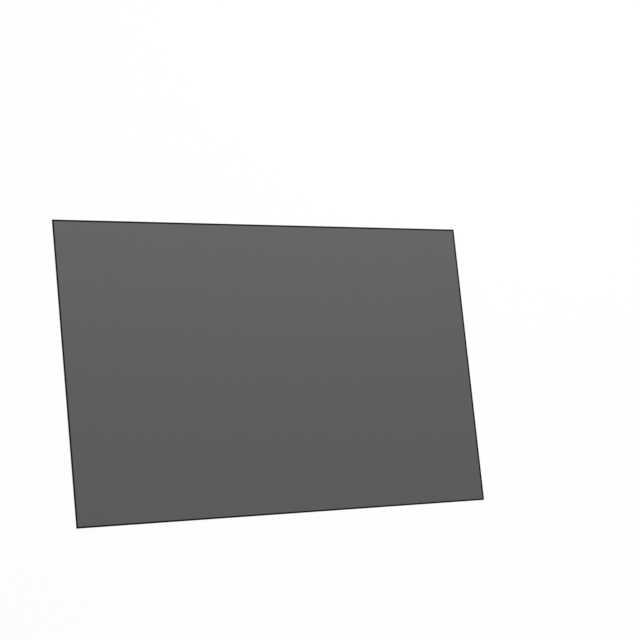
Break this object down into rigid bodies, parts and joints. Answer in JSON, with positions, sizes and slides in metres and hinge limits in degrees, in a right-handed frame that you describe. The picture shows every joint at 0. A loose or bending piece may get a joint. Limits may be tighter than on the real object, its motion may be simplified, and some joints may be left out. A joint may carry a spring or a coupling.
{
  "type": "laptop privacy filter",
  "caption": "Thin flat rectangle of dark tinted see-through film that covers a laptop screen and narrows the angle it can be read from.",
  "frame": {"origin": "centre of the rear face, on the surface that the sheet lies on", "axes": "+X along the width, to the right as seen from the front; +Y along the height, towards the top edge; +Z out of the front face"},
  "size_m": [0.344, 0.215, 0.0005],
  "materials": {
    "tinted_film": "satin"
  },
  "bodies": {
    "root": {"filter_sheet": "tinted_film"}
  },
  "joints": []
}
